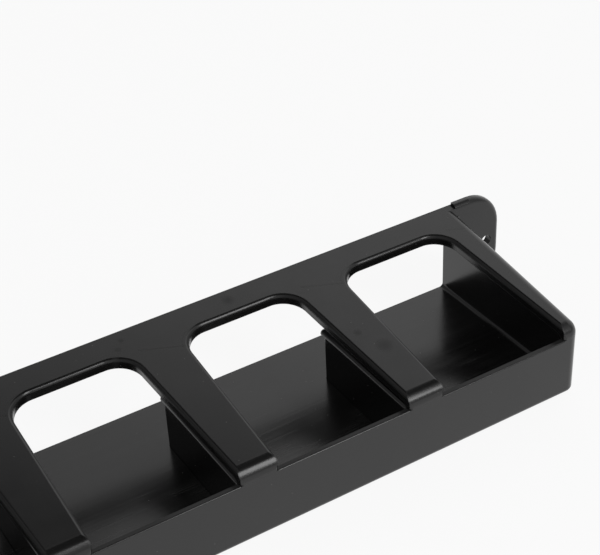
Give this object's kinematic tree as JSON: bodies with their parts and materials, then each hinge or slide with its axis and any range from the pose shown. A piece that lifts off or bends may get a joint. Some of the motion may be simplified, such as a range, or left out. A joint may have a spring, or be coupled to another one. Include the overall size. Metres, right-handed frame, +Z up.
{
  "type": "rod rack",
  "caption": "Wall-mounted rack for fishing rods: a shallow tray under a sloping comb-shaped deck, with thin dividers between the pockets and a screw ear at each end.",
  "frame": {"origin": "middle of the footprint, at the height of the flat base", "axes": "+X along the wall, to the right seen from the front; +Y towards the wall that it is screwed to; +Z up"},
  "size_m": [0.5392, 0.073, 0.0395],
  "materials": {
    "moulded_plastic": "black injection-moulded plastic, satin, with softly mirrored surroundings",
    "divider_plastic": "black plastic plate, satin"
  },
  "bodies": {
    "root": {"tray": "moulded_plastic", "comb_deck": "moulded_plastic", "divider_1": "divider_plastic", "divider_2": "divider_plastic", "divider_3": "divider_plastic", "divider_4": "divider_plastic", "divider_5": "divider_plastic", "divider_6": "divider_plastic", "divider_7": "divider_plastic"}
  },
  "joints": []
}
